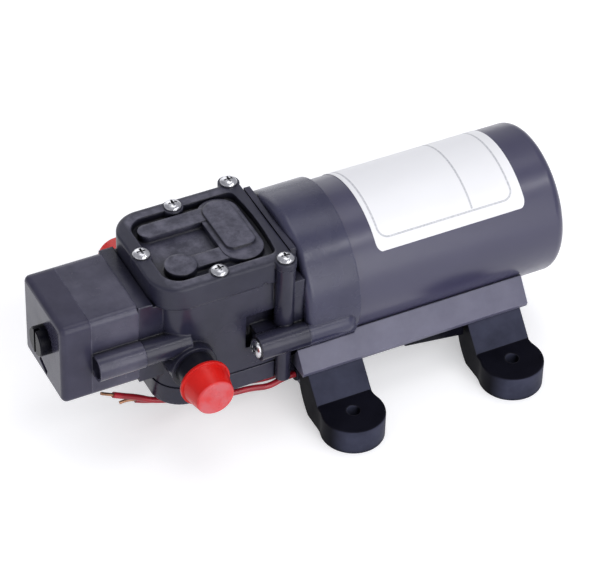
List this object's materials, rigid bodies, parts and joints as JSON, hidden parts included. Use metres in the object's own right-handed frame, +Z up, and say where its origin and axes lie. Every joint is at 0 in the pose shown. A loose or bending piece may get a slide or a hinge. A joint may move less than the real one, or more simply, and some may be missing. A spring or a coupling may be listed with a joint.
{
  "type": "caravan water pump",
  "caption": "Small diaphragm water pump with a round motor behind, a pressure switch in front, side ports under transport caps, a foot rail on rubber feet and two loose leads.",
  "frame": {"origin": "on the floor under the middle of the pump, without its loose leads", "axes": "+X along the motor shaft from the pressure switch to the motor's closed end, +Z up"},
  "size_m": [0.1652, 0.0962, 0.0607],
  "materials": {
    "black_plastic": "fine moulded texture",
    "can_paint": "black paint on drawn steel",
    "foot_rubber": "smooth moulded",
    "red_plastic": "soft moulded",
    "lead_sleeve": "smooth sleeve",
    "screw_steel": "zinc plated",
    "core_steel": "stacked sheet",
    "copper": "copper",
    "bronze": "sintered bronze",
    "magnet_ferrite": "sintered",
    "label_white": "printed film, left blank",
    "grey_nylon": "moulded",
    "natural_nylon": "moulded",
    "cast_zinc": "die cast"
  },
  "bodies": {
    "pump": {"motor_can": "can_paint", "motor_bell": "black_plastic", "front_bush": "bronze", "rear_bush": "bronze", "brush_card": "natural_nylon", "brushes": "magnet_ferrite", "brush_springs": "screw_steel", "field_magnets": "magnet_ferrite", "motor_label": "label_white", "diaphragm": "foot_rubber", "valve_plate": "natural_nylon", "pump_head": "black_plastic", "base_plate": "black_plastic", "top_cover": "black_plastic", "cover_screws": "screw_steel", "corner_screws": "screw_steel", "side_screws": "screw_steel", "switch_screws": "screw_steel", "base_screws": "screw_steel", "near_port": "grey_nylon", "near_port_seal": "foot_rubber", "far_port": "grey_nylon", "far_port_seal": "foot_rubber", "switch_cap": "black_plastic", "switch_body": "black_plastic", "switch_membrane": "foot_rubber", "micro_switch": "natural_nylon", "switch_terminals": "copper", "pressure_spring": "screw_steel", "motor_rail": "black_plastic", "rail_screws": "screw_steel", "front_near_foot": "foot_rubber", "front_far_foot": "foot_rubber", "rear_near_foot": "foot_rubber", "rear_far_foot": "foot_rubber", "feed_lead": "lead_sleeve", "return_lead": "lead_sleeve", "lead_tips": "copper", "lead_gland": "foot_rubber", "inner_leads": "lead_sleeve"},
    "rotor": {"motor_shaft": "screw_steel", "armature_core": "core_steel", "armature_windings": "copper", "commutator": "copper", "eccentric": "cast_zinc", "eccentric_grub_screw": "screw_steel", "rod_bearing_inner": "screw_steel"},
    "rod": {"connecting_rod": "natural_nylon", "rod_bearing_outer": "screw_steel", "rod_bearing_balls": "screw_steel", "diaphragm_washer": "screw_steel", "diaphragm_screw": "screw_steel"},
    "near_cap": {"near_transport_cap": "red_plastic"},
    "far_cap": {"far_transport_cap": "red_plastic"},
    "adjuster": {"adjust_screw": "grey_nylon"},
    "plunger": {"switch_plunger": "natural_nylon"},
    "button": {"micro_button": "natural_nylon"},
    "inlet_flap": {"inlet_valve": "foot_rubber"},
    "outlet_flap": {"outlet_valve": "foot_rubber"}
  },
  "joints": [
    {"name": "rotor_spin", "type": "hinge", "parent": "pump", "child": "rotor", "pos_m": [-0.02185, 0, 0.0356], "axis": [1, 0, 0], "continuous": true},
    {"name": "rod_swing", "type": "hinge", "parent": "rotor", "child": "rod", "pos_m": [-0.02185, 0, 0.0371], "axis": [1, 0, 0], "continuous": true, "deforming": ["diaphragm"]},
    {"name": "near_cap_pull", "type": "slide", "parent": "pump", "child": "near_cap", "axis": [0, -1, 0], "range_m": [0, 0.03]},
    {"name": "far_cap_pull", "type": "slide", "parent": "pump", "child": "far_cap", "axis": [0, 1, 0], "range_m": [0, 0.03]},
    {"name": "adjust_screw_turn", "type": "hinge", "parent": "pump", "child": "adjuster", "pos_m": [-0.07935, -0.002, 0.039], "axis": [1, 0, 0], "range_deg": [-180, 180]},
    {"name": "plunger_slide", "type": "slide", "parent": "pump", "child": "plunger", "axis": [-1, 0, 0], "range_m": [0, 0.0008], "stiffness_N_per_m": 500},
    {"name": "button_slide", "type": "slide", "parent": "pump", "child": "button", "axis": [-1, 0, 0], "range_m": [0, 0.0008]},
    {"name": "inlet_lift", "type": "slide", "parent": "pump", "child": "inlet_flap", "axis": [0, 0, -1], "range_m": [0, 0.0005], "stiffness_N_per_m": 50},
    {"name": "outlet_lift", "type": "slide", "parent": "pump", "child": "outlet_flap", "axis": [0, 0, 1], "range_m": [0, 0.0005], "stiffness_N_per_m": 50}
  ],
  "couplings": [
    {"joint": "rod_swing", "follows": "rotor_spin", "ratio": -1},
    {"joint": "button_slide", "follows": "plunger_slide", "ratio": 1}
  ]
}
